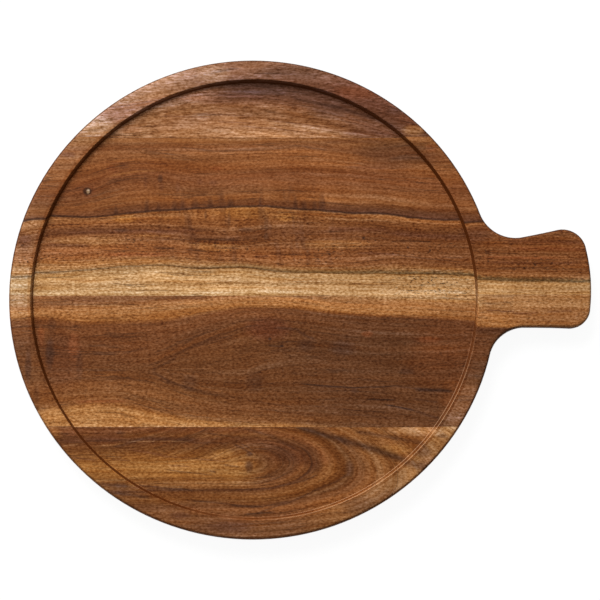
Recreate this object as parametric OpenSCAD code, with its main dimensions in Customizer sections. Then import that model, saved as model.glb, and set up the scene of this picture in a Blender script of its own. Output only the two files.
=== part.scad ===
// Pizza serving board: a glued wooden panel cut to a round body with a shallow recess and a flared handle.
// The origin is the centre of the round body on its underside, +X points along the handle and +Z is up.

/* [Body] */
// Diameter of the recess at the rim, for a pizza of that size
recess_d = 301.5; // [220:0.5:400]
// Width of the raised rim round the recess
rim_w = 13.25; // [10:0.25:30]
// Thickness of the board at the rim
board_t = 15; // [14:0.5:25]
// Width of the softened edge round the top of the board
top_edge = 2; // [0.5:0.1:2.5]
// Width of the rounded edge round the underside, where fingers reach in under the board
under_edge = 11; // [1:0.1:11]

/* [Recess] */
// Depth of the recess below the rim
recess_depth = 3.5; // [2.5:0.1:6]
// Width of the sloping recess wall, seen from above
wall_run = 1.9; // [0.8:0.1:4]
// How far the recess sits off the centre of the body, towards the handle
recess_shift = 1.1; // [0:0.1:3]
// How far the recess sits off the centre of the body, towards the front
recess_side = 0.6; // [0:0.1:3]
// Width of the softened inner edge of the rim
lip_edge = 0.35; // [0.2:0.05:0.8]
// Width of the hollow at the foot of the recess wall
foot_cove = 0.4; // [0.2:0.05:0.8]

/* [Handle] */
// How far the handle stands out of the round body
handle_l = 64; // [56:1:120]
// Reach of the handle behind the centre line
handle_rear = 45; // [35:0.5:60]
// Reach of the handle in front of the centre line
handle_front = 22.7; // [20:0.1:60]
// Slope of the rear flank where it meets its corner
rear_flare = 13; // [0:0.5:15]
// Slope of the front flank where it meets its corner
front_flare = 2.5; // [0:0.5:15]
// Radius of the two gently hollow flanks
flank_r = 600; // [300:10:1500]
// Radius of the rear corner at the end
rear_corner_r = 16; // [13:0.5:20]
// Radius of the front corner at the end
front_corner_r = 14; // [13:0.5:20]
// Radius of the bowed end
end_bow_r = 120; // [80:1:300]
// How far the crown of the bowed end lies behind the centre line
end_bow_y = 6.5; // [0:0.5:12]
// Radius of the hollows where the handle runs into the round body
root_r = 25; // [12:0.5:32]

/* [Staves] */
// Distance of the centre seam behind the centre line
centre_seam = -0.4; // [-3:0.1:3]
// Width of the stave behind the centre seam
rear_centre_w = 110; // [70:1:115]
// Width of the stave in front of the centre seam
front_centre_w = 89; // [70:1:115]
// Thickness of each glue film
glue_t = 0.15; // [0.1:0.05:0.3]

/* [Hidden] */
$fn = 180;

// Room by which a cut runs past the wood
over = 1;
// Narrow flats that make up a softened edge, and the broader one of the underside
edge_flats = 4;
under_flats = 6;
// Slight overlap by which a corner or a root runs into the edge beside it
blend = 0.06;
// Depth of the band of wood along each edge of the handle
band = 2 * under_edge + 2.5;

// Round body, recess floor, seams and the circle of the handle's bowed end
body_r = recess_d / 2 + rim_w;
recess_r = recess_d / 2;
floor_z = board_t - recess_depth;
foot_r = recess_r - wall_run;
wall_a = atan2(recess_depth, wall_run);
rear_seam = centre_seam + rear_centre_w;
front_seam = centre_seam - front_centre_w;
end_x = body_r + handle_l;
bow_c = [end_x - end_bow_r, end_bow_y];

// Vector of length r at angle a
function at(a, r = 1) = r * [cos(a), sin(a)];
// Angle of a plane vector, from 0 to 360
function angle_of(v) = (atan2(v[1], v[0]) + 360) % 360;
// Centre of a corner circle of radius r at distance y that touches the bowed end from inside
function corner_centre(r, y) = [bow_c[0] + sqrt(pow(end_bow_r - r, 2) - pow(y - end_bow_y, 2)), y];
// Distance from the body's centre, along the line to q, at which the root centre is abreast
function abreast(q) = (pow(body_r + root_r, 2) - pow(flank_r - root_r, 2) + q * q) / (2 * norm(q));
// Centre of the root circle that touches the round body and the flank about q, behind or in front of it
function root_centre(q, side) = let (a = abreast(q))
    (a * q + side * sqrt(pow(body_r + root_r, 2) - a * a) * [q[1], -q[0]]) / norm(q);

// Rear side of the handle: corner centre, end of the flank, flank centre and root centre
rear_c = corner_centre(rear_corner_r, handle_rear - rear_corner_r);
rear_t = rear_c + at(90 + rear_flare, rear_corner_r);
rear_q = rear_c + at(90 + rear_flare, rear_corner_r + flank_r);
rear_root = root_centre(rear_q, 1);

// Front side of the handle, in the same order
front_c = corner_centre(front_corner_r, front_corner_r - handle_front);
front_t = front_c + at(-90 - front_flare, front_corner_r);
front_q = front_c + at(-90 - front_flare, front_corner_r + flank_r);
front_root = root_centre(front_q, -1);

// Angles at which the bowed end meets its two corners
rear_end_a = atan2(rear_c[1] - bow_c[1], rear_c[0] - bow_c[0]);
front_end_a = atan2(front_c[1] - bow_c[1], front_c[0] - bow_c[0]);
// Turn of a flank by which it runs on into its root
run_on = band / 2 / flank_r * 180 / PI;

// Section that softens a square corner at the origin, with the wood below and to the left of it
module edge_section(w, flats = edge_flats) {
    polygon(concat(
        [[over, -w], [over, over], [-w, over]],
        [for (i = [0:flats]) [-w, -w] + at(90 - i * 90 / flats, w)]
    ));
}

// Section of the board from x0 out to a softened edge at x1
module edge_band(x0, x1) {
    difference() {
        translate([x0, 0]) square([x1 - x0, board_t]);
        translate([x1, board_t]) edge_section(top_edge);
        translate([x1, 0]) mirror([0, 1]) edge_section(under_edge, under_flats);
    }
}

// Round plate with softened edges
module plate(c, r) {
    translate(c) rotate_extrude() edge_band(0, r);
}

// Band of wood along a hollow flank about q from angle a to angle b
module flank(q, a, b) {
    translate(q) rotate_extrude(angle = b - a, start = a)
        translate([flank_r, 0]) mirror([1, 0]) edge_band(-band, 0);
}

// Wood in the hollow between the round body and the flank about q, with the root centre at c
module root(c, q) {
    difference() {
        linear_extrude(board_t) polygon([[0, 0], c, c + (c - q) * (root_r + band) / (flank_r - root_r)]);
        translate(c) rotate_extrude() {
            translate([0, -over]) square([root_r + blend, board_t + 2 * over]);
            translate([root_r + blend, board_t]) mirror([1, 0]) edge_section(top_edge);
            translate([root_r + blend, 0]) rotate(180) edge_section(under_edge, under_flats);
        }
    }
}

// Bowed end of the handle between its two corners
module bow() {
    translate(bow_c) rotate_extrude(angle = rear_end_a - front_end_a, start = front_end_a)
        edge_band(end_bow_r - band, end_bow_r);
}

// Middle of the handle, inside its edges
module core() {
    linear_extrude(board_t) polygon([
        [0, 0],
        front_q + (front_root - front_q) * (flank_r + band / 2) / (flank_r - root_r),
        front_q + (front_t - front_q) * (flank_r + band / 2) / flank_r,
        bow_c + at(front_end_a, end_bow_r - band / 2),
        bow_c + at(rear_end_a, end_bow_r - band / 2),
        rear_q + (rear_t - rear_q) * (flank_r + band / 2) / flank_r,
        rear_q + (rear_root - rear_q) * (flank_r + band / 2) / (flank_r - root_r)
    ]);
}

// Recess cut with a softened rim, a sloping wall and a hollow foot
module recess() {
    lip_r = lip_edge / tan(wall_a / 2);
    cove_r = foot_cove / tan(wall_a / 2);
    lip_c = [recess_r + lip_edge, board_t - lip_r];
    cove_c = [foot_r - foot_cove, floor_z + cove_r];
    turn = wall_a / edge_flats;
    translate([recess_shift, -recess_side, 0]) rotate_extrude() polygon(concat(
        [[0, floor_z]],
        [for (i = [0:edge_flats]) cove_c + at(i * turn - 90, cove_r)],
        [for (i = [edge_flats:-1:0]) lip_c + at(i * turn + 90, lip_r)],
        [[recess_r + lip_edge, board_t + over], [0, board_t + over]]
    ));
}

// Whole panel before it is parted at the seams
module panel() {
    difference() {
        union() {
            plate([0, 0], body_r);
            plate(rear_c, rear_corner_r + blend);
            plate(front_c, front_corner_r + blend);
            flank(rear_q, angle_of(rear_root - rear_q) - run_on, angle_of(rear_t - rear_q));
            flank(front_q, angle_of(front_t - front_q), angle_of(front_root - front_q) + run_on);
            root(rear_root, rear_q);
            root(front_root, front_q);
            bow();
            core();
        }
        recess();
    }
}

// Part of the panel between two distances from the centre line
module strip(y0, y1) {
    intersection() {
        panel();
        translate([-body_r - over, y0, -over])
            cube([body_r + end_x + 2 * over, y1 - y0, board_t + 2 * over]);
    }
}

module rear_stave() {
    color("#84583e") strip(rear_seam + glue_t / 2, body_r + over);
}

module rear_centre_stave() {
    color("#8b5935") strip(centre_seam + glue_t / 2, rear_seam - glue_t / 2);
}

module front_centre_stave() {
    color("#734729") strip(front_seam + glue_t / 2, centre_seam - glue_t / 2);
}

module front_stave() {
    color("#7c4d2a") strip(-body_r - over, front_seam - glue_t / 2);
}

module rear_glue_line() {
    color("#6b4628") strip(rear_seam - glue_t / 2, rear_seam + glue_t / 2);
}

module centre_glue_line() {
    color("#6b4628") strip(centre_seam - glue_t / 2, centre_seam + glue_t / 2);
}

module front_glue_line() {
    color("#6b4628") strip(front_seam - glue_t / 2, front_seam + glue_t / 2);
}

rear_stave();
rear_centre_stave();
front_centre_stave();
front_stave();
rear_glue_line();
centre_glue_line();
front_glue_line();
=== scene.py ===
# Pizza serving board of four glued acacia staves, dressed for its picture.
# Objects are in metres in the part's own frame; the figure of the wood is drawn in millimetres.
import math
import bpy
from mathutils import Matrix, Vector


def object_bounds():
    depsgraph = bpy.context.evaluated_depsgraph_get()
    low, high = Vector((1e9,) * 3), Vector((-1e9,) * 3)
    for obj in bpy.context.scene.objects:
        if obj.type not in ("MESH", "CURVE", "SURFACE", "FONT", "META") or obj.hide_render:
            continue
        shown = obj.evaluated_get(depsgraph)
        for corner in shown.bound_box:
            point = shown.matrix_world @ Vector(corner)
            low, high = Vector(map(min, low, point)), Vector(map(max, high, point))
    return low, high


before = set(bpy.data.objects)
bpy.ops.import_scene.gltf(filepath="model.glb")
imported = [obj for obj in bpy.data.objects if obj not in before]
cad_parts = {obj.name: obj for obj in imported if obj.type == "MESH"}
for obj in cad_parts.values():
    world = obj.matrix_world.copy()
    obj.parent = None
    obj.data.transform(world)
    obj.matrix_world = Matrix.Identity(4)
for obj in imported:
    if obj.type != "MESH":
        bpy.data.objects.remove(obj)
cad_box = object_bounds()

# Corners of the board's own box in millimetres
MM = 1000.0
LOW, HIGH = ([place * MM for place in corner] for corner in cad_box)
# Width of the rim, and depth and centre of the recess, as the part has them
RIM_W = 13.25
RECESS_DEPTH = 3.5
RECESS_X = 1.1
RECESS_Y = -0.6
# Radius of the recess at its lip, and the height of its floor
RECESS_R = (HIGH[1] - LOW[1]) / 2 - RIM_W
FLOOR_Z = HIGH[2] - RECESS_DEPTH
# Reach along and across the board within which a growth line can be drawn, a little past its edges
ALONG = (LOW[0] - 6.0, HIGH[0] + 4.0)
ACROSS = (LOW[1] - 16.0, HIGH[1] + 16.0)


# Values that vary over the wood
class Grain:
    """One value that varies over a piece of wood: a socket in its node tree."""

    def __init__(self, socket):
        self.socket = socket

    @property
    def nodes(self):
        return self.socket.id_data.nodes

    def __add__(self, other):
        return calc("ADD", self, other)

    def __radd__(self, other):
        return calc("ADD", other, self)

    def __sub__(self, other):
        return calc("SUBTRACT", self, other)

    def __rsub__(self, other):
        return calc("SUBTRACT", other, self)

    def __mul__(self, other):
        return calc("MULTIPLY", self, other)

    def __rmul__(self, other):
        return calc("MULTIPLY", other, self)

    def __truediv__(self, other):
        return calc("DIVIDE", self, other)

    def __pow__(self, other):
        return calc("POWER", self, other)

    def __abs__(self):
        return calc("ABSOLUTE", self)


def plug(socket, value):
    """Gives a socket a varying value or a plain one."""
    if isinstance(value, Grain):
        socket.id_data.links.new(value.socket, socket)
    else:
        socket.default_value = value


def fill(sockets, values):
    """Gives each of a node's sockets its value, in order."""
    for socket, value in zip(sockets, values):
        plug(socket, value)


def calc(operation, *values, clamp=False):
    """Sum, product or other plain arithmetic on varying values."""
    node = next(v for v in values if isinstance(v, Grain)).nodes.new("ShaderNodeMath")
    node.operation = operation
    node.use_clamp = clamp
    fill(node.inputs, values)
    return Grain(node.outputs[0])


def fade(value, none, full):
    """Rises softly from 0 where value is none to 1 where it is full."""
    node = value.nodes.new("ShaderNodeMapRange")
    node.interpolation_type = "SMOOTHSTEP"
    plug(node.inputs["Value"], value)
    plug(node.inputs["From Min"], none)
    plug(node.inputs["From Max"], full)
    return Grain(node.outputs["Result"])


def distance(across, along):
    """Length of the longest side of a right triangle with these two."""
    return calc("SQRT", across * across + along * along)


def cloud(x, y, z, detail=2.0, roughness=0.5):
    """Soft noise about 0, one unit coarse, at a place that is already scaled."""
    place = x.nodes.new("ShaderNodeCombineXYZ")
    fill(place.inputs, (x, y, z))
    node = x.nodes.new("ShaderNodeTexNoise")
    node.inputs["Scale"].default_value = 1.0
    node.inputs["Detail"].default_value = detail
    node.inputs["Roughness"].default_value = roughness
    plug(node.inputs["Vector"], Grain(place.outputs[0]))
    return Grain(node.outputs[0]) - 0.5


def drawn(x, points):
    """Where a line drawn through points along the board lies across it."""
    node = x.nodes.new("ShaderNodeFloatCurve")
    node.mapping.extend = "HORIZONTAL"
    dots = node.mapping.curves[0].points
    while len(dots) < len(points):
        dots.new(0.5, 0.5)
    length = ALONG[1] - ALONG[0]
    width = ACROSS[1] - ACROSS[0]
    for dot, (point_x, point_y) in zip(dots, points):
        dot.location = ((point_x - ALONG[0]) / length, (point_y - ACROSS[0]) / width)
        dot.handle_type = "AUTO_CLAMPED"
    node.mapping.update()
    plug(node.inputs["Value"], (x - ALONG[0]) / length)
    return Grain(node.outputs[0]) * width + ACROSS[0]


def place_in_mm(nodes):
    """The place on a piece in millimetres: along the board, across it and up."""
    place = nodes.new("ShaderNodeTexCoord")
    in_mm = nodes.new("ShaderNodeMapping")
    in_mm.inputs["Scale"].default_value = (MM, MM, MM)
    split = nodes.new("ShaderNodeSeparateXYZ")
    plug(in_mm.inputs["Vector"], Grain(place.outputs["Object"]))
    plug(split.inputs[0], Grain(in_mm.outputs[0]))
    return [Grain(socket) for socket in split.outputs]


def linear(value):
    """One display value, 0 to 255, as light."""
    part = value / 255.0
    return part / 12.92 if part <= 0.04045 else ((part + 0.055) / 1.055) ** 2.4


def tone(red, green, blue):
    """A wood tone from its display values."""
    return (linear(red), linear(green), linear(blue), 1.0)


def ramp(value, most, stops):
    """Tones along a value from 0 to most, each with its place and its display values."""
    node = value.nodes.new("ShaderNodeValToRGB")
    elements = node.color_ramp.elements
    while len(elements) < len(stops):
        elements.new(0.5)
    for element, (at, *display) in zip(elements, stops):
        element.position = at / most
        element.color = tone(*display)
    plug(node.inputs[0], value / most)
    return Grain(node.outputs[0])


def mixed(below, above, amount):
    """One colour laid over another by an amount from 0 to 1."""
    node = amount.nodes.new("ShaderNodeMix")
    node.data_type = "RGBA"
    plug(node.inputs[0], amount)
    plug(node.inputs[6], below)
    plug(node.inputs[7], above)
    return Grain(node.outputs[2])


def bumped(shader, height, strength, reach):
    """Gives a surface fine relief of a reach in metres."""
    bump = height.nodes.new("ShaderNodeBump")
    bump.inputs["Strength"].default_value = strength
    bump.inputs["Distance"].default_value = reach
    plug(bump.inputs["Height"], height)
    plug(shader.inputs["Normal"], Grain(bump.outputs[0]))


# Tones of the marks in the wood, from mineral streaks to sapwood
INK = tone(58, 35, 26)
SLATE = tone(74, 47, 36)
UMBER = tone(80, 48, 32)
RUSSET = tone(104, 61, 42)
CHESTNUT = tone(146, 80, 46)
HONEY = tone(172, 115, 65)
AMBER = tone(207, 138, 65)
CREAM = tone(196, 149, 110)


def pattern(name, labels):
    """An empty node group with one number out: the group, its inputs and its output."""
    group = bpy.data.node_groups.new(name, "ShaderNodeTree")
    for label in labels:
        group.interface.new_socket(label, in_out="INPUT", socket_type="NodeSocketFloat")
    group.interface.new_socket("Amount", in_out="OUTPUT", socket_type="NodeSocketFloat")
    inputs = group.nodes.new("NodeGroupInput").outputs
    return group, [Grain(s) for s in inputs][:len(labels)], group.nodes.new("NodeGroupOutput").inputs[0]


def streak_pattern():
    """A mineral streak: a narrow line that may bow, and fades towards its ends."""
    labels = ["Along", "Across", "From along", "From across", "To along", "To across", "Width", "Bow"]
    group, (x, y, from_x, from_y, to_x, to_y, width, bow), out = pattern("Mineral streak", labels)
    share = (x - from_x) / (to_x - from_x)
    path = from_y + (to_y - from_y) * share + bow * 4.0 * share * (1.0 - share)
    plug(out, fade(abs(y - path) / width, 1.0, 0.0) * fade(abs(share - 0.5), 0.5, 0.3))
    return group


def patch_pattern():
    """A soft patch that is full in its middle and gone at its reach."""
    labels = ["Along", "Across", "At along", "At across", "Reach along", "Reach across"]
    group, (x, y, at_x, at_y, reach_x, reach_y), out = pattern("Soft patch", labels)
    off_x = (x - at_x) / reach_x
    off_y = (y - at_y) / reach_y
    plug(out, fade(off_x * off_x + off_y * off_y, 1.0, 0.0))
    return group


STREAK = streak_pattern()
PATCH = patch_pattern()


class Timber:
    """The wood of one stave, painted tone over tone in its own material."""

    def __init__(self, name, lean, lean_along=0.0):
        self.material = bpy.data.materials.new(name)
        self.material.use_nodes = True
        nodes = self.material.node_tree.nodes
        nodes.clear()
        self.x, self.y, self.z = place_in_mm(nodes)
        # Growth layers lean over through the thickness: here a place's layer meets the recess floor
        self.floor_y = self.y + (self.x * lean_along + lean) * (self.z - FLOOR_Z)
        # A slow wander keeps drawn lines from looking ruled, and a fine one frays their edges
        wander = cloud(self.x / 29.0, self.floor_y / 11.0, self.z / 20.0, detail=3.0)
        fray = cloud(self.x / 4.0, self.floor_y / 2.0 + 40.0, self.z / 2.0, roughness=0.6)
        self.figure_y = self.floor_y + wander * 1.8 + fray * 0.9

    def layers(self, lines):
        """Counts growth layers down from the first line: 1 at the second, 2 at the third, and so on."""
        self.layer = 0.0
        for upper, lower in zip(lines, lines[1:]):
            passed = calc("DIVIDE", upper - self.figure_y, upper - lower, clamp=True)
            self.layer = passed + self.layer
        return self.layer

    def group(self, which, values):
        """Puts a streak or a patch into this wood."""
        node = self.x.nodes.new("ShaderNodeGroup")
        node.node_tree = which
        fill(node.inputs, values)
        return Grain(node.outputs[0])

    def paint(self, colour, amount):
        """Lays a colour over what is painted so far, by an amount that varies over the wood."""
        self.colour = mixed(self.colour, colour, amount)

    def multiply(self, *factors):
        """Multiplies red, green and blue of what is painted so far by their factors."""
        joined = self.x.nodes.new("ShaderNodeCombineXYZ")
        fill(joined.inputs, factors)
        product = self.x.nodes.new("ShaderNodeVectorMath")
        product.operation = "MULTIPLY"
        fill(product.inputs, (self.colour, Grain(joined.outputs[0])))
        self.colour = Grain(product.outputs[0])

    def streaks(self, colour, amount, places):
        """Paints streaks of one tone, each with its two ends, its width and perhaps a bow."""
        for from_x, from_y, to_x, to_y, width, *bow in places:
            values = (self.x, self.figure_y, from_x, from_y, to_x, to_y, width, *(bow or [0.0]))
            self.paint(colour, self.group(STREAK, values) * amount)

    def patches(self, colour, amount, places):
        """Paints soft patches of one tone, each with its middle and its reach."""
        for place in places:
            self.paint(colour, self.group(PATCH, (self.x, self.figure_y, *place)) * amount)

    def along(self, length, width, depth, seed, detail=2.0, roughness=0.6):
        """Noise that follows the growth layers, in spots of about length by width by depth."""
        return cloud(self.x / length, self.growth / width + seed, self.z / depth, detail, roughness)

    def across(self, length, width, depth, seed, detail=1.0, roughness=0.6):
        """Noise that lies straight along the stave, in spots of about length by width by depth."""
        return cloud(self.x / length + seed, self.floor_y / width, self.z / depth, detail, roughness)

    def grain(self, layer_width, cast, lift, bands, lines, strands, specks, fibres, curl):
        """Lays bands, lines, strands, fibres, specks and curl over the painted tones."""
        self.growth = self.layer * layer_width
        broad = self.along(length=111.0, width=4.5, depth=33.0, seed=9.0, detail=3.0)
        line = self.along(length=71.0, width=1.33, depth=17.0, seed=0.0, detail=3.0, roughness=0.65)
        tint = self.along(length=60.0, width=2.5, depth=33.0, seed=77.0)
        fibre = self.across(length=6.7, width=1.1, depth=2.5, seed=31.0, detail=2.0)
        self.strand = self.along(length=83.0, width=0.87, depth=3.3, seed=31.0)
        self.speck = self.across(length=2.0, width=1.18, depth=0.83, seed=17.0)
        ripple = cloud(self.x / 9.0 + self.floor_y / 33.0, self.floor_y / 25.0 + 55.0, self.z / 20.0)
        banded = (fade(broad, -0.22, 0.22) - 0.5) * bands
        lined = (fade(line, -0.25, 0.25) - 0.5) * lines
        light = lift + banded + lined + ripple * curl
        fine = self.strand * strands + self.speck * specks + fibre * fibres + 1.0
        shade = light * calc("MAXIMUM", fine, 0.2)
        # Darker grain is redder, paler grain more golden
        self.multiply(
            shade * cast[0],
            shade ** 1.4 * (tint * 0.45 + 1.0) * cast[1],
            shade ** 2.1 * (tint * 1.3 + 1.0) * cast[2],
        )

    def hairlines(self):
        """Draws single dark hairlines along the growth layers."""
        hair = self.along(length=91.0, width=1.67, depth=25.0, seed=120.0, roughness=0.5)
        present = self.along(length=50.0, width=5.0, depth=33.0, seed=150.0, detail=1.0, roughness=0.5)
        self.paint(tone(62, 36, 22), fade(abs(hair), 0.03, 0.004) * fade(present, -0.02, 0.12) * 0.5)

    def towards(self, bearing):
        """How far a place lies from the recess's middle towards a bearing in degrees."""
        turn = math.radians(bearing)
        return self.out_x * math.cos(turn) + self.out_y * math.sin(turn)

    def edges(self):
        """Paints shade on the cut wall and partly on the outer edge, paints highlights on the lip and foot,
        and makes the rim paler and greyer in places.
        """
        facing = self.x.nodes.new("ShaderNodeNewGeometry")
        turned = self.x.nodes.new("ShaderNodeSeparateXYZ")
        plug(turned.inputs[0], Grain(facing.outputs["True Normal"]))
        self.backward = Grain(turned.outputs[1])
        self.upward = abs(Grain(turned.outputs[2]))
        self.out_x = self.x - RECESS_X
        self.out_y = self.y - RECESS_Y
        self.radius = distance(self.out_x, self.out_y)
        self.inner = fade(self.radius, RECESS_R + 2.3, RECESS_R + 1.7)
        self.outer = 1.0 - self.inner
        self.paint_wall_shade()
        self.paint_lip_highlight()
        self.pale_rim()
        self.paint_outer_edge_shade()

    def paint_wall_shade(self):
        """Paints shade on the wall, less in its upper half except behind the handle and at the far front,
        and less at the front right.
        """
        wall = fade(self.upward, 0.56, 0.5) * self.inner
        behind_handle = fade(self.towards(0), 60.0, 130.0) * fade(self.out_y, -20.0, 18.0)
        deep = behind_handle + fade(self.towards(225), 112.0, 138.0)
        upper = fade(self.z, FLOOR_Z + 0.8, FLOOR_Z + 2.6) * (1.0 - deep) * 0.45
        wall_shade = 0.85 + deep * 0.08 - upper - fade(self.towards(-50), 60.0, 120.0) * 0.25
        # Painted shade on the recess wall, by an amount that changes with its bearing
        self.paint(tone(80, 36, 6), wall * wall_shade)

    def paint_lip_highlight(self):
        """Paints highlights on the lip and foot of the wall at the front right, where they face the light,
        the lip stronger than the foot.
        """
        softened = fade(self.upward, 0.5, 0.58) * fade(self.upward, 0.998, 0.96) * self.inner
        lip = fade(self.radius, RECESS_R - 1.35, RECESS_R - 0.55)
        front_right = fade(self.towards(-50), 109.0, 149.0)
        # Painted highlight along the lip and the foot of the wall
        self.paint(tone(212, 166, 124), softened * front_right * (lip * 0.16 + 0.36))

    def pale_rim(self):
        """Makes the rim paler and greyer at the far left, along the front and before the handle."""
        far_left = fade(self.towards(158), 112.0, 150.0)
        front = fade(self.towards(-90), 115.0, 155.0)
        beside_handle = fade(self.towards(-28), 122.0, 150.0) * fade(self.out_y, -30.0, -75.0)
        paling = far_left * 0.42 + front * 0.3 + beside_handle * 0.9
        rim = self.outer * fade(self.radius, RECESS_R + 20.0, RECESS_R + 12.0)
        rim_paling = fade(self.upward, 0.9, 0.99) * rim * paling
        self.multiply(rim_paling * 0.5 + 1.0, rim_paling + 1.0, rim_paling * 2.0 + 1.0)

    def paint_outer_edge_shade(self):
        """Paints the board's rounded outer edge darker, more where it faces backwards; the darkening is
        partly painted shade of the roundover.
        """
        rounded = fade(self.upward, 0.995, 0.75) * self.outer
        # Darker rounded edge, partly painted shade, stronger where the edge faces backwards
        self.paint(tone(58, 34, 20), rounded * (fade(self.backward, -0.2, 0.3) * 0.45 + 0.35))

    def finish(self, layer_width, cast=(1.0, 1.0, 1.0), lift=1.06, bands=0.42, lines=0.5, strands=0.88,
               specks=1.6, fibres=0.4, pores=0.3, curl=0.4):
        """Lays the grain, hairlines and pores over the painted tones and makes the oil-finished surface."""
        nodes = self.x.nodes
        self.grain(layer_width, cast, lift, bands, lines, strands, specks, fibres, curl)
        self.hairlines()
        pitted = self.across(length=2.4, width=0.95, depth=0.67, seed=70.0, roughness=0.5)
        pore = fade(pitted, 0.10, 0.18)
        self.paint(tone(44, 25, 15), pore * pores)
        self.edges()
        shader = nodes.new("ShaderNodeBsdfPrincipled")
        shader.inputs["Specular IOR Level"].default_value = 0.08
        plug(shader.inputs["Base Color"], self.colour)
        plug(shader.inputs["Roughness"], 0.52 + self.speck * 0.25 + pore * 0.15)
        bumped(shader, self.strand * 0.5 + self.speck * 0.4 - pore, strength=0.25, reach=0.0002)
        out = nodes.new("ShaderNodeOutputMaterial")
        plug(out.inputs["Surface"], Grain(shader.outputs[0]))
        return self.material


# Rear stave
def rear_wood():
    """Narrow stave: a dark heart under the rear rim and pale streaky wood along its seam."""
    wood = Timber("rear_stave_acacia", lean=0.9)
    x = wood.x
    layer = wood.layers([
        176.0,
        drawn(x, [(-120, 132), (-80, 138), (-43, 146), (0, 151), (40, 150), (80, 142), (110, 130)]),
        drawn(x, [(-120, 126), (-80, 131), (-43, 137), (-2, 138), (32, 135), (60, 129), (105, 114)]),
        drawn(x, [(-120, 115), (-70, 124), (-43, 130), (-2, 132), (32, 127), (60, 121), (101, 109)]),
        drawn(x, [(-160, 109), (0, 109), (60, 106), (120, 98)]),
        92.0,
    ])
    wood.colour = ramp(layer, 5.0, [
        (0.0, 138, 94, 66), (0.7, 142, 96, 68), (1.0, 118, 75, 52), (1.35, 96, 59, 40),
        (2.0, 104, 64, 42), (2.5, 134, 86, 56), (3.0, 150, 101, 66), (3.5, 166, 115, 77),
        (4.0, 175, 123, 81), (5.0, 140, 92, 60),
    ])
    # Pale far end of the rim, browner wood below it, and redder wood towards the handle; the wood below the
    # rim is partly painted light, lifted paler where the wall's shadow falls on the floor.
    below_rim = fade(layer, 1.0, 1.3) * fade(layer, 2.8, 2.3)
    wood.paint(tone(186, 138, 103), fade(x, -10.0, -75.0) * fade(layer, 2.6, 1.4) * 0.78)
    wood.paint(tone(172, 119, 85), fade(x, -70.0, -105.0) * fade(layer, 2.6, 3.2) * 0.7)
    # Partly painted light: paler floor where the wall's shadow falls
    wood.paint(tone(164, 110, 78), fade(x, -12.0, -45.0) * below_rim * 0.85)
    wood.paint(tone(114, 68, 47), fade(x, 30.0, 75.0) * fade(layer, 1.9, 1.2) * 0.85)
    wood.paint(tone(108, 66, 46), fade(x, 40.0, 85.0) * fade(layer, 2.0, 2.8) * 0.8)
    rear_heart(wood)
    rear_threads(wood)
    return wood.finish(
        layer_width=8.0, cast=(0.95, 0.885, 0.8), lines=0.4, strands=0.8, specks=1.2, fibres=2.2,
        pores=0.2, curl=0.35,
    )


def rear_heart(wood):
    """Heart at the rear rim, and the pale ends of the rim above the seam."""
    wood.patches(SLATE, 0.45, [(4, 144, 28, 6), (28, 159, 30, 8), (52, 128, 18, 7), (97, 130, 9, 4)])
    wood.patches(CHESTNUT, 0.4, [(-84, 116, 11, 4), (72, 144, 22, 6)])
    wood.patches(CREAM, 0.75, [(-108, 119, 18, 11)])
    wood.patches(CREAM, 0.35, [(-84, 115, 20, 8), (-72, 126, 16, 9), (-48, 131, 28, 7), (-27, 157, 14, 8)])
    wood.patches(HONEY, 0.6, [(110, 117, 10, 5)])


def rear_threads(wood):
    """Dark streaks of the heart, pale and brown lines in the streaky wood, and lines on the rim."""
    wood.streaks(INK, 0.55, [(24, 138, 66, 130, 2.3), (58, 131, 100, 119, 2.8)])
    wood.streaks(RUSSET, 0.55, [
        (-28, 141, 8, 138, 1.8), (62, 114, 101, 112, 2), (-70, 125, -25, 124, 0.7), (-46, 127, 6, 125, 0.7),
        (-26, 121, 5, 120, 0.9), (-16, 119, 54, 112, 0.7), (6, 123, 61, 116, 0.7),
    ])
    wood.streaks(CREAM, 0.45, [(-37, 115, 8, 113, 1.1), (6, 121, 49, 116, 1), (31, 116, 64, 112, 1.2)])
    wood.streaks(RUSSET, 0.3, [
        (-99, 134, -70, 129, 0.7), (-90, 141, -58, 134, 0.7), (-72, 150, -39, 143, 0.7),
        (-57, 155, -20, 148, 0.7),
    ])


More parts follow.
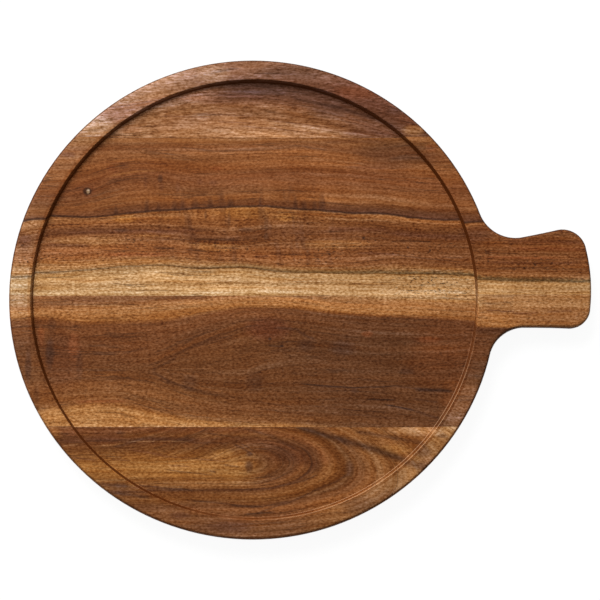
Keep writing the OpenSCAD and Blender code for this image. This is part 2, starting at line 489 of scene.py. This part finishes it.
# Rear centre stave
def rear_centre_wood():
    """Wide stave behind the centre seam: banded heart, a dark growth line, a pin knot and pale sapwood."""
    wood = Timber("rear_centre_stave_acacia", lean=0.9)
    x = wood.x
    dark_line = drawn(x, [
        (-164, 51), (-144, 55), (-114, 54), (-76, 57.5), (-36, 60), (5, 61.5), (32, 59.5), (66, 57),
        (83, 56.5), (117, 53), (134, 52), (160, 53.5), (228, 53.5),
    ])
    sap_line = drawn(x, [
        (-163, 15), (-117, 17), (-90, 19.5), (-63, 20.5), (-36, 18.5), (-9, 19.5), (18, 16.5), (72, 15),
        (110, 14.5), (147, 13.3), (227, 11.5),
    ])
    layer = wood.layers([
        119.0,
        drawn(x, [(-104, 101.5), (-29, 100.5), (39, 102), (66, 98.5), (87, 95), (107, 97), (121, 96.5)]),
        drawn(x, [
            (-139, 71), (-124, 72.5), (-107, 77), (-94, 83), (-77, 86.5), (-36, 81), (32, 84), (131, 77),
        ]),
        dark_line,
        drawn(x, [
            (-158, 40), (-131, 44), (-97, 45), (-63, 43.5), (-15, 38.5), (25, 43), (59, 43), (100, 40.5),
            (226, 38),
        ]),
        drawn(x, [
            (-161, 27), (-144, 25.5), (-63, 28), (25, 22.5), (66, 22), (100, 25), (140, 22.5), (226, 22),
        ]),
        sap_line,
        -1.0,
        -18.0,
    ])
    wood.colour = ramp(layer, 8.0, [
        (0.0, 134, 83, 47), (0.55, 139, 88, 49), (0.9, 132, 80, 46), (1.15, 140, 86, 48),
        (1.6, 142, 86, 47), (2.0, 128, 76, 44), (2.3, 128, 77, 44), (2.7, 141, 86, 46),
        (2.97, 116, 69, 40), (3.03, 151, 96, 53), (3.4, 147, 91, 49), (3.95, 113, 67, 38),
        (4.3, 132, 82, 47), (4.8, 148, 91, 52), (5.3, 146, 92, 52), (5.75, 158, 110, 66),
        (6.0, 150, 108, 68), (6.15, 192, 148, 102), (6.6, 192, 147, 101), (7.0, 201, 158, 111),
        (8.0, 182, 136, 93),
    ])
    # Darker heart towards the handle, paler along the sapwood at the far end
    lower_heart = fade(layer, 3.0, 3.6) * fade(layer, 5.9, 5.2)
    by_sapwood = fade(layer, 5.0, 5.6) * fade(layer, 6.05, 5.9)
    wood.paint(tone(112, 66, 36), fade(x, 0.0, 110.0) * lower_heart * 0.65)
    wood.paint(tone(178, 124, 76), fade(x, -20.0, -80.0) * by_sapwood * 0.75)
    wood.paint(tone(185, 141, 98), fade(x, -10.0, 110.0) * fade(layer, 6.1, 6.3) * 0.75)
    wood.paint(tone(132, 79, 42), fade(x, 148.0, 158.0) * fade(layer, 5.95, 5.7) * 0.6)
    upper_heart_marks(wood)
    lower_heart_marks(wood)
    sapwood_and_handle_marks(wood)
    growth_line(wood, dark_line)
    sapwood_edge(wood, sap_line)
    pin_knot(wood, knot_x=-112.5, knot_y=72.0)
    # Livelier grain below the growth line, with open pores in clusters and curl in the board's middle
    lower = fade(layer, 2.9, 3.2)
    sappy = fade(layer, 5.9, 6.2)
    open_heart = fade(layer, 3.9, 4.3) * fade(layer, 5.7, 5.1)
    clustered = fade(cloud(x / 33.0 + 8.0, layer * 1.5, 0.0, detail=1.0), -0.08, 0.12) * open_heart
    open_sap = sappy * fade(x, 80.0, 110.0) * fade(x, 155.0, 140.0)
    curly = fade(x, -75.0, -45.0) * fade(x, 75.0, 45.0) * fade(layer, 2.1, 2.6) * fade(layer, 5.7, 5.2)
    flame = cloud(x / 6.0 + wood.floor_y / 60.0, wood.floor_y / 24.0 + 12.0, wood.z / 20.0)
    wood.paint(tone(84, 48, 32), fade(flame, 0.0, 0.24) * curly * 0.5)
    return wood.finish(
        layer_width=14.0, cast=(1.01, 0.93, 0.76), lines=0.4 + lower * 0.1,
        strands=0.75 + lower * 0.55 - sappy * 0.2, specks=1.45 + lower * 0.6 - sappy * 0.3,
        pores=0.16 + clustered * 0.55 + open_sap * 0.65, curl=curly * 0.5 + 0.4,
    )


def upper_heart_marks(wood):
    """A pale arch over the knot, lines under the seam and dark wood towards the handle."""
    wood.streaks(HONEY, 0.45, [(-103, 81, -58, 86, 1, 2)])
    wood.streaks(UMBER, 0.55, [
        (-77, 101, -50, 97, 0.8), (-51, 103, -25, 100, 0.8), (-30, 100, 8, 101.5, 0.7),
        (34, 103, 52, 101, 1), (91, 95, 120, 95, 2.2),
    ])
    wood.streaks(INK, 0.6, [(98, 96, 115, 98, 0.7)])
    wood.streaks(RUSSET, 0.45, [(-106, 92, -48, 91, 0.8), (62, 89, 92, 88, 1.1), (46, 107, 94, 107, 2.2)])
    wood.patches(SLATE, 0.65, [(-63, 81, 2.5, 3.5)])
    wood.patches(UMBER, 0.6, [(100, 99, 38, 13)])
    wood.patches(RUSSET, 0.3, [(130, 57, 30, 10), (85, 87, 30, 8)])
    wood.patches(RUSSET, 0.38, [
        (-88, 90, 5, 3), (-73, 79, 2, 6), (-62, 75, 2, 4), (-51, 75, 2, 6), (-36, 79, 3, 2.5),
        (-27, 78, 4, 3),
    ])
    wood.patches(CHESTNUT, 0.45, [(-96, 88, 5, 3), (-25, 88, 5, 2), (122, 105, 6, 3.5)])


def lower_heart_marks(wood):
    """Gold under the growth line, then brown bands and short mineral streaks."""
    wood.patches(AMBER, 0.32, [(-87, 53, 10, 4), (-6, 57.5, 18, 5), (23, 54, 8, 4)])
    wood.patches(HONEY, 0.4, [(-60, 54, 6, 3), (-26, 57, 6, 3), (4, 57, 34, 6)])
    wood.streaks(HONEY, 0.45, [(-49, 35, -14, 35, 1), (-81, 41, -53, 41, 1.1)])
    wood.patches(HONEY, 0.5, [(-112, 37, 32, 5), (-25, 33, 22, 4), (55, 35, 30, 4), (-75, 22.5, 25, 3)])
    wood.streaks(RUSSET, 0.6, [
        (-142, 35, -107, 34, 2), (-140, 43, -22, 45, 1.9), (48, 46, 96, 45, 2.2), (88, 43, 148, 39, 3.6),
        (68, 29, 100, 28, 1.3), (0, 26, 12, 27, 1.6),
    ])
    wood.streaks(UMBER, 0.65, [
        (-69, 33, -51, 32, 1), (-64, 38.5, -40, 38.5, 0.8), (-47, 31.5, -29, 30.5, 0.9),
        (-28, 33, -7, 32, 1), (9, 28, 37, 28, 0.9), (93, 28, 147, 22, 0.8), (125, 26, 145, 25.5, 0.7),
    ])
    wood.streaks(INK, 0.55, [(-42, 38.5, -8, 38.5, 1.3), (96, 38, 123, 36.5, 1)])
    wood.streaks(CHESTNUT, 0.5, [(-102, 28, -56, 28, 2)])
    wood.patches(SLATE, 0.5, [(-89, 45, 6, 2), (-5, 45, 7, 2), (9, 40, 2.5, 3)])
    wood.patches(UMBER, 0.5, [(9, 48, 2, 10), (-16, 52.5, 1.5, 7), (-32, 55, 1.2, 4.5)])
    wood.patches(INK, 0.85, [
        (75, 39.5, 1.4, 1.2), (105, 33, 1, 1), (120, 31, 1.1, 1.1), (183, 21.5, 1.1, 0.9),
    ])


def sapwood_and_handle_marks(wood):
    """Brown threads in the sapwood, then the marks of the handle and a few on the rim."""
    wood.streaks(HONEY, 0.5, [
        (-134, 11, -102, 9.5, 1), (-69, 9.5, 55, 8.5, 0.6), (-42, 6, 52, 4.5, 0.6), (6, 11, 66, 9.5, 0.6),
        (64, 8.5, 91, 6.5, 0.8), (151, 5.5, 227, 5.5, 0.6), (151, 9, 207, 9, 0.6),
    ])
    wood.streaks(RUSSET, 0.55, [(166, 39.5, 230, 38.5, 2.4), (152, 25, 227, 24.5, 1.6)])
    wood.streaks(UMBER, 0.6, [
        (161, 21.5, 207, 21.5, 0.9), (151, 31.5, 182, 31, 0.7), (150, 14, 211, 13, 1.2),
    ])
    wood.streaks(CHESTNUT, 0.45, [(169, 35, 230, 34, 2), (151, 28.5, 211, 28, 1.4)])
    wood.patches(RUSSET, 0.55, [(152, 45, 14, 8), (-154, 40, 6, 7), (-126, 100, 7, 2.5)])
    wood.patches(tone(224, 181, 136), 0.6, [(161, 3, 14, 9)])


def growth_line(wood, line):
    """Dark wood over a growth line, the teeth that stand on it and the line itself."""
    over = wood.figure_y - line
    standing = fade(over, -0.4, 0.4)
    towards_handle = fade(wood.x, 35.0, 60.0) * 0.45 + 0.3
    wood.paint(tone(92, 55, 38), fade(over, 9.0, 0.0) * standing * towards_handle)
    # Each tooth has its place along the line, its width and its height
    for at, width, height in (
        (-93, 2, 8), (-72, 2.2, 11), (-64, 2, 7), (-53, 3, 9), (-48, 2.2, 8), (-39, 3.5, 9), (-29, 2.8, 10),
        (-15, 3, 8), (5, 1.2, 9), (29, 2.2, 11), (35, 2.5, 8), (42, 2.2, 9), (47, 3.2, 15),
    ):
        tooth = wood.group(PATCH, (wood.x, over, at, 0.0, width, height))
        wood.paint(tone(70, 42, 31), tooth * standing * 0.5)
    wood.paint(tone(54, 30, 22), fade(abs(over), 1.2, 0.3) * 0.8)


def sapwood_edge(wood, line):
    """The grey line along the sapwood, soft at the far end and broken up towards the handle."""
    under = wood.figure_y - line
    beside = fade(under, 2.6, 0.8) * fade(under, -0.6, 0.2)
    wood.paint(tone(112, 86, 54), beside * (fade(wood.x, -60.0, 90.0) * 0.45 + 0.25))
    towards_handle = fade(wood.x, 50.0, 110.0)
    broken = fade(wood.across(length=2.6, width=1.1, depth=1.0, seed=40.0), -0.1, 0.12)
    wood.paint(tone(70, 50, 32), fade(abs(under - 1.2), 2.6, 0.8) * broken * towards_handle * 0.6)
    wood.paint(tone(80, 60, 40), fade(abs(under), 0.8, 0.2) * (0.55 - towards_handle * 0.4))


def pin_knot(wood, knot_x, knot_y):
    """A pin knot with its dark ring and pale core."""
    ring = distance(wood.x - knot_x, (wood.floor_y - knot_y) * math.sqrt(1.2))
    wood.paint(tone(116, 66, 40), fade(ring, 8.0, 3.0) * 0.6)
    wood.paint(tone(56, 32, 22), fade(ring, 3.7, 2.2) * 0.85)
    wood.patches(tone(190, 164, 142), 0.85, [(knot_x + 0.5, knot_y - 0.2, 1.5, 2.3)])


# Front centre stave
def front_centre_wood():
    """Wide stave before the centre seam: an orange band over dark heart, sapwood along the front seam."""
    wood = Timber("front_centre_stave_acacia", lean=0.7, lean_along=1.0 / 300.0)
    x = wood.x
    upper_arm = drawn(x, [
        (-154, -48), (-112, -49.5), (-69, -47.5), (-55, -41.5), (-35, -32.5), (-19, -26.5), (5, -21),
        (25, -22), (52, -26.5), (85, -30), (119, -30.5), (159, -28.5),
    ])
    lower_arm = drawn(x, [
        (-142, -51.5), (-82, -52), (-69, -53), (-49, -61), (-28, -67), (5, -70), (58, -70), (98, -72.5),
        (132, -76.5),
    ])
    layer = wood.layers([
        12.0,
        drawn(x, [
            (-162, -9.5), (-89, -7.5), (-49, -4.5), (-9, -1.5), (12, -0.5), (32, -1.5), (52, -4),
            (99, -6.5), (152, -9), (226, -9),
        ]),
        drawn(x, [
            (-162, -16), (-144, -14.5), (-109, -18), (-62, -16.5), (-42, -13.5), (-22, -10), (-2, -8),
            (18, -8), (59, -12), (112, -14.3), (179, -18.5), (226, -18.5),
        ]),
        upper_arm,
        drawn(x, [
            (-142, -49.8), (-69, -50.5), (-8, -53.5), (12, -48), (32, -45.5), (99, -48), (142, -45.5),
        ]),
        lower_arm,
        drawn(x, [(-142, -78.5), (-95, -74), (-75, -78), (-35, -85), (32, -88.5), (125, -98)]),
        -108.0,
    ])
    wood.colour = ramp(layer, 7.0, [
        (0.0, 150, 100, 64), (0.9, 144, 93, 58), (1.05, 166, 110, 66), (1.5, 166, 111, 66),
        (1.95, 157, 102, 57), (2.08, 117, 70, 40), (2.5, 113, 67, 38), (3.0, 110, 66, 37),
        (3.5, 109, 66, 37), (4.5, 107, 65, 37), (5.0, 109, 66, 37), (5.5, 119, 72, 40),
        (5.92, 132, 83, 47), (6.08, 172, 117, 68), (6.5, 178, 122, 73), (7.0, 150, 98, 56),
    ])
    top_band_marks(wood)
    # Darker, redder heart towards the handle
    heart = fade(layer, 2.02, 2.15) * fade(layer, 6.05, 5.8)
    wood.paint(tone(90, 54, 32), fade(x, -10.0, 70.0) * heart * 0.75)
    wood.patches(tone(112, 63, 35), 0.4, [(136, -30, 36, 26), (125, -48, 30, 20)])
    wood.patches(tone(131, 82, 46), 0.6, [(-75, -68, 75, 12)])
    wood.patches(tone(150, 88, 50), 0.32, [(141, -71, 20, 20)])
    far_end_marks(wood)
    bend_marks(wood, (upper_arm, lower_arm))
    mineral_marks(wood)
    handle_dashes(wood)
    return wood.finish(
        layer_width=13.0, cast=(1.03, 0.94, 0.73), lift=1.13, bands=0.34, lines=0.35, strands=0.55,
        specks=1.9, curl=0.45,
    )


def top_band_marks(wood):
    """Above the orange band: grey-brown at the far end, pale towards the handle."""
    x, layer = wood.x, wood.layer
    in_recess = fade(x, 158.0, 150.0) * 0.5 + 0.2
    wood.paint(tone(158, 107, 66), fade(x, 20.0, 60.0) * fade(layer, 1.04, 0.96) * 0.9)
    wood.paint(tone(186, 140, 95), fade(x, 30.0, 90.0) * fade(layer, 0.9, 0.7) * in_recess)
    wood.paint(tone(176, 130, 90), fade(x, -146.0, -152.0) * fade(layer, 1.0, 0.8) * 0.8)
    wood.streaks(UMBER, 0.45, [(-146, -2.5, -20, -1, 2.4), (-146, -6, -68, -6.5, 0.9)])
    wood.streaks(RUSSET, 0.5, [
        (-131, -3.5, -95, -4, 1.1), (-57, -2, -31, -2.5, 0.9), (-161, -10, -147, -9.5, 0.7),
    ])
    wood.streaks(CREAM, 0.55, [
        (-124, -7, -84, -7, 0.7), (-70, -4.5, -56, -4, 0.6), (171, -7, 187, -6, 0.6),
    ])


def far_end_marks(wood):
    """Red, dark and pale patches across the far end."""
    wood.patches(tone(98, 54, 34), 0.4, [(-127, -44, 18, 24)])
    wood.patches(SLATE, 0.75, [(-136, -40, 4, 13)])
    wood.patches(SLATE, 0.55, [(-150, -48, 3, 14)])
    wood.patches(UMBER, 0.45, [(-135, -21, 4, 8), (-116, -48, 3, 14), (-144, -68, 3, 8)])
    wood.patches(CHESTNUT, 0.4, [(-120, -35, 5, 12), (-142, -28, 3, 9)])
    wood.patches(HONEY, 0.6, [(-133, -81, 7, 7)])


def bend_marks(wood, arms):
    """Streaks beside the bend of the growth layers, which is drawn dark on both its arms."""
    wood.streaks(UMBER, 0.5, [
        (-113, -51, -82, -51.5, 1.1), (-110, -39.5, -89, -40, 1.5), (-89, -40, -69, -35, 1.1),
        (-69, -52, -49, -41, 1.6), (-53, -42, -10, -28, 1.8, 3), (-68, -51, -55, -60, 1.9),
        (-60, -58, -37, -65, 1.8), (-43, -63, -12, -68, 1.3),
    ])
    wood.patches(UMBER, 0.5, [(-42, -60, 7, 7), (1, -59, 8, 9)])
    wood.streaks(CHESTNUT, 0.45, [(-122, -72.5, -81, -72, 1.6)])
    wood.streaks(CREAM, 0.5, [(-118, -89, -30, -89, 0.7)])
    bend = fade(wood.x, -85.0, -60.0) * fade(wood.x, 10.0, -25.0)
    for arm in arms:
        wood.paint(tone(76, 46, 30), fade(abs(wood.figure_y - arm), 1.6, 0.2) * bend * 0.4)


def mineral_marks(wood):
    """Red heart with a dark pit in the middle, then mineral streaks towards the handle."""
    wood.patches(tone(98, 50, 33), 0.6, [(10, -23, 20, 10)])
    wood.streaks(SLATE, 0.55, [(14, -22, 33, -23.5, 1.6), (29, -24, 43, -31, 1.8)])
    wood.streaks(INK, 0.65, [(9, -34, 22, -35, 1.1)])
    wood.patches(INK, 0.9, [(11.5, -29.5, 1.6, 1.4), (19.5, -34.5, 1.6, 1.2)])
    wood.patches(SLATE, 0.5, [(36, -34, 8, 5), (60, -36, 11, 7), (103, -52, 7, 2.5), (68, -65, 3.5, 2.3)])
    wood.patches(CHESTNUT, 0.4, [(77, -26.5, 5, 2.5), (118, -30.5, 11, 2.7)])
    wood.streaks(INK, 0.95, [
        (30, -60, 68, -63, 1), (60, -63, 98, -62, 0.9), (106, -64, 136, -65.5, 2.2),
        (74, -70.5, 97, -71, 1), (86, -74, 110, -78.5, 1),
    ])
    wood.streaks(SLATE, 0.5, [
        (94, -62, 113, -64, 0.8), (105, -70, 126, -73, 1.4), (107, -78, 127, -85, 1.8),
    ])
    wood.streaks(UMBER, 0.45, [
        (30, -74, 86, -80.5, 0.8), (3, -77, 46, -82, 0.9), (57, -80.5, 100, -84, 0.9),
        (-8, -71, 31, -76, 0.8),
    ])


def handle_dashes(wood):
    """Short dark dashes and darker wood along the front of the handle."""
    wood.streaks(RUSSET, 0.8, [
        (156, -7, 167, -7, 0.9), (165, -7.5, 177, -7.5, 1), (173, -9, 193, -8, 1.3),
        (197, -7, 207, -7, 0.9), (206, -7, 215, -6, 1.1),
    ])
    wood.patches(tone(134, 86, 52), 0.65, [(208, -12, 46, 10)])
    wood.streaks(UMBER, 0.7, [(146, -20.5, 180, -20.5, 3)])


# Front stave
def front_wood():
    """Stave along the near edge: golden wood with nested ovals that open to the far end."""
    wood = Timber("front_stave_acacia", lean=0.4)
    x = wood.x
    # Ovals about an axis: their half width at a place, and which side of the axis it is on
    axis = drawn(x, [(-160, -113), (-10, -113), (39, -113), (66, -117), (100, -123), (150, -130)])
    rise = wood.figure_y - axis
    run = calc("MAXIMUM", x + 8.0, 0.0) / 2.6
    half = distance(rise, run)
    side = fade(rise, -3.0, 3.0)
    wood.layer = half / 10.0 + side * 3.0 * fade(x, 15.0, -85.0)
    upper = ramp(half, 60.0, [
        (0.0, 150, 99, 51), (4.0, 140, 90, 46), (9.0, 116, 72, 38), (12.0, 112, 68, 37),
        (15.5, 102, 60, 34), (18.0, 120, 75, 41), (22.0, 118, 70, 40), (28.0, 112, 70, 40),
        (34.0, 118, 74, 42), (42.0, 130, 82, 46), (60.0, 120, 76, 44),
    ])
    lower = ramp(half, 60.0, [
        (0.0, 150, 99, 51), (8.0, 142, 93, 47), (13.0, 134, 85, 44), (17.0, 126, 79, 42),
        (18.5, 96, 56, 32), (20.0, 122, 76, 42), (24.0, 126, 80, 44), (29.0, 108, 66, 38),
        (32.0, 128, 80, 46), (36.0, 120, 74, 42), (42.0, 122, 76, 44), (60.0, 118, 74, 44),
    ])
    wood.colour = mixed(lower, upper, side)
    # Redder, darker wood inside the ovals' closed end, and paler wood outside it
    wood.paint(tone(100, 58, 33), fade(x, -15.0, 15.0) * fade(half, 20.0, 14.0) * 0.8)
    wood.paint(tone(138, 86, 42), fade(x, -20.0, 5.0) * fade(abs(half - 24.5), 4.0, 1.0) * 0.4)
    wood.paint(tone(108, 68, 37), fade(x, 20.0, 50.0) * fade(abs(half - 27.5), 3.0, 0.5) * 0.5)
    wood.paint(tone(138, 87, 45), fade(x, 20.0, 60.0) * fade(half, 30.0, 36.0) * 0.7)
    wood.patches(tone(88, 49, 27), 0.65, [(26, -105, 17, 9), (36, -109, 10, 9), (42, -115, 5, 6)])
    front_patches(wood)
    upper_oval_lines(wood)
    lower_oval_lines(wood)
    open_end_lines(wood)
    return wood.finish(
        layer_width=10.0, cast=(1.03, 0.92, 0.72), lift=1.1, lines=0.5 - fade(x, 30.0, 60.0) * 0.2,
        fibres=0.6, pores=0.2, curl=0.35,
    )


def front_patches(wood):
    """Golden and brown patches."""
    wood.patches(tone(160, 108, 57), 0.5, [
        (-62, -116, 46, 8), (-14, -121, 11, 5.5), (-20, -107, 9, 4), (-109, -114, 8, 4), (94, -105, 16, 5),
    ])
    wood.patches(RUSSET, 0.5, [
        (-98, -96, 16, 5.5), (-120, -95, 9, 5), (-48, -147, 9, 3), (-14, -154, 19, 5.5),
    ])
    wood.patches(RUSSET, 0.35, [(94, -136, 16, 8), (118, -113, 10, 7)])
    wood.patches(UMBER, 0.6, [(113, -105, 7, 5), (126, -94, 5, 2), (64, -117, 4, 7), (-88, -93, 4, 1.6)])
    wood.patches(UMBER, 0.4, [(-22, -154, 27, 7), (72, -141, 17, 8), (-88, -129, 10, 6)])
    wood.patches(CREAM, 0.8, [(108, -91.5, 22, 4.5)])
    wood.patches(HONEY, 0.4, [(131, -91, 12, 5), (-134, -92, 8, 6)])


def upper_oval_lines(wood):
    """Dark lines along the seam and into the ovals' upper side, pale threads beside them."""
    wood.streaks(SLATE, 0.55, [(-95, -103, -70, -97, 2), (-76, -97, -34, -98.5, 2.6)])
    wood.streaks(CREAM, 0.35, [
        (-104, -102, -84, -100, 0.7), (-86, -99, -40, -99, 0.5), (-127, -101, -115, -100, 0.6),
    ])
    wood.streaks(UMBER, 0.6, [
        (-43, -99.5, -15, -100.5, 1.1), (-33, -93, -6, -97, 1.1), (-7, -90, 13, -95.5, 1.5),
        (9, -94, 31, -105, 2.7), (66, -92, 99, -97.5, 2.6), (91, -96, 118, -101, 2.6),
    ])
    wood.streaks(INK, 0.75, [(26, -88.5, 66, -100, 3.6), (52, -96, 108, -114, 4.6, 0.7)])
    wood.streaks(UMBER, 0.6, [(98, -111, 136, -122, 4.5)])


def lower_oval_lines(wood):
    """Dark lines round the lower side of the ovals."""
    wood.streaks(UMBER, 0.75, [
        (44, -120.5, 25, -127.5, 0.9, -0.7), (29, -126.5, 9, -130.5, 0.9), (13, -130, -14, -131.5, 1),
    ])
    wood.streaks(UMBER, 0.68, [
        (65, -120, 53, -127, 1.6), (57, -125, 41, -132, 1.5), (45, -130, 30, -137, 1.3),
        (35, -135, 18, -142, 1.1), (23, -139.5, 1, -147, 1.2), (-45, -137.5, -7, -142, 1.2),
        (5, -142.5, 26, -138.5, 1),
    ])
    wood.streaks(INK, 0.72, [(16, -145.5, -7, -147.5, 1.3), (-16, -141.5, 9, -142.5, 1.3)])


def open_end_lines(wood):
    """Streaks of the ovals' open far end, and the small dark eye in their middle."""
    wood.streaks(SLATE, 0.65, [
        (-69, -129.5, -39, -131.5, 1.2), (-103, -126, -80, -128, 1.9), (-94, -132, -66, -135.5, 1.6),
    ])
    wood.streaks(RUSSET, 0.55, [
        (-83, -128.5, -60, -129.5, 1), (-84, -104, -57, -108.5, 1.4), (-122, -108.5, -102, -111, 1.2),
        (-69, -108, -14, -112.5, 0.9), (-57, -115, -40, -116, 0.7), (-95, -111, -80, -112, 0.7),
    ])
    wood.streaks(UMBER, 0.6, [
        (-61, -117.5, -23, -122, 0.8), (-99, -109, -86, -110, 0.8), (-29, -118.5, -24, -120, 1),
        (-14, -101, 1, -109.5, 1.6, 1.5), (-10, -100, 3, -108.5, 0.9, 1.5), (-20, -114.5, -8, -116, 0.8),
    ])
    wood.patches(SLATE, 0.6, [(-2, -107.5, 3, 2.5), (-2.5, -115.5, 3.5, 5)])


def glue_film():
    """Thin cured glue: brown, with a slow change of depth along the seam."""
    material = bpy.data.materials.new("cured_glue")
    material.use_nodes = True
    nodes = material.node_tree.nodes
    shader = nodes["Principled BSDF"]
    shader.inputs["Specular IOR Level"].default_value = 0.4
    x, y, z = place_in_mm(nodes)
    depth = cloud(x * 0.06, y * 0.4, z * 0.4, detail=3.0, roughness=0.6)
    thick = fade(depth, -0.15, 0.15)
    plug(shader.inputs["Base Color"], mixed(tone(112, 72, 44), tone(78, 47, 28), thick))
    plug(shader.inputs["Roughness"], 0.5 + depth * 0.3)
    bumped(shader, depth, strength=0.1, reach=0.0001)
    return material


def dress(node, material):
    """Gives a piece of the board its finish."""
    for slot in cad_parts[node].material_slots:
        slot.material = material


dress("rear_stave", rear_wood())
dress("rear_centre_stave", rear_centre_wood())
dress("front_centre_stave", front_centre_wood())
dress("front_stave", front_wood())
film = glue_film()
for seam in ("rear_glue_line", "centre_glue_line", "front_glue_line"):
    dress(seam, film)


def white_table():
    """A table that shows as white and still takes the board's soft shadow."""
    # The top lies a hair under the board, so that it never shares a plane with the underside
    reach, top = 3.0, -0.0002
    corners = [(-reach, -reach, top), (reach, -reach, top), (reach, reach, top), (-reach, reach, top)]
    mesh = bpy.data.meshes.new("white_table")
    mesh.from_pydata(corners, [], [(0, 1, 2, 3)])
    table = bpy.data.objects.new("white_table", mesh)
    bpy.context.collection.objects.link(table)
    mesh.materials.append(table_top())


def table_top():
    """White paper that mostly glows where it is looked at, and only reflects light elsewhere."""
    paper_white = 0.82
    material = bpy.data.materials.new("white_table_top")
    material.use_nodes = True
    nodes = material.node_tree.nodes
    nodes.clear()
    rays = nodes.new("ShaderNodeLightPath")
    seen = calc("MAXIMUM", Grain(rays.outputs["Is Camera Ray"]), Grain(rays.outputs["Is Glossy Ray"]))
    seen = calc("MAXIMUM", seen, Grain(rays.outputs["Is Transmission Ray"]))
    paper = nodes.new("ShaderNodeBsdfDiffuse")
    paper.inputs["Color"].default_value = (paper_white, paper_white, paper_white, 1.0)
    glow = nodes.new("ShaderNodeEmission")
    glow.inputs["Strength"].default_value = 1.1
    both = nodes.new("ShaderNodeMixShader")
    fill(both.inputs, (seen * 0.85, Grain(paper.outputs[0]), Grain(glow.outputs[0])))
    out = nodes.new("ShaderNodeOutputMaterial")
    plug(out.inputs["Surface"], Grain(both.outputs[0]))
    return material


def soft_lamp(bearing, height):
    """A broad soft lamp at a bearing and a height, both angles, that points at the board."""
    reach = 3.0
    lamp = bpy.data.lights.new("soft_lamp", "AREA")
    lamp.shape = "DISK"
    lamp.size = 2.2
    lamp.energy = 84.0
    body = bpy.data.objects.new("soft_lamp", lamp)
    body.location = (
        reach * math.cos(height) * math.cos(bearing),
        reach * math.cos(height) * math.sin(bearing),
        reach * math.sin(height),
    )
    body.rotation_euler = body.location.to_track_quat("Z", "Y").to_euler()
    bpy.context.collection.objects.link(body)


def white_room(bearing):
    """A room that is bright towards a bearing and dim elsewhere, and white where it is looked at."""
    dim, bright = 0.2, 1.0
    world = bpy.data.worlds.new("white_room")
    world.use_nodes = True
    bpy.context.scene.world = world
    nodes = world.node_tree.nodes
    nodes["Background"].inputs["Color"].default_value = (1.0, 1.0, 1.0, 1.0)
    rays = nodes.new("ShaderNodeLightPath")
    seen = calc("MAXIMUM", Grain(rays.outputs["Is Camera Ray"]), Grain(rays.outputs["Is Transmission Ray"]))
    place = nodes.new("ShaderNodeTexCoord")
    split = nodes.new("ShaderNodeSeparateXYZ")
    plug(split.inputs[0], Grain(place.outputs["Generated"]))
    x, y, z = (Grain(socket) for socket in split.outputs)
    bright_side = fade(x * math.cos(bearing) + y * math.sin(bearing), -0.1, 0.8) * fade(z, 1.0, 0.7)
    strength = bright_side * (bright - dim) + dim
    plug(nodes["Background"].inputs["Strength"], calc("MAXIMUM", seen, strength))


def photo_camera():
    """Looks down on the board from the near side, about eleven degrees off straight down."""
    lens = bpy.data.cameras.new("photo_camera")
    lens.sensor_width = 36.0
    lens.lens = 124.35
    lens.shift_x = 0.0788
    lens.shift_y = -0.0064
    camera = bpy.data.objects.new("photo_camera", lens)
    tilt, reach, aim_height = math.radians(10.8), 1.4, 0.008
    camera.location = (0.0, -reach * math.sin(tilt), reach * math.cos(tilt) + aim_height)
    camera.rotation_euler = (tilt, 0.0, 0.0)
    bpy.context.collection.objects.link(camera)
    bpy.context.scene.camera = camera


# The light comes from behind and from the left
light_bearing = math.radians(117.0)
white_table()
soft_lamp(light_bearing, height=math.radians(40.0))
white_room(light_bearing)
photo_camera()
bpy.context.scene.view_settings.view_transform = "Standard"
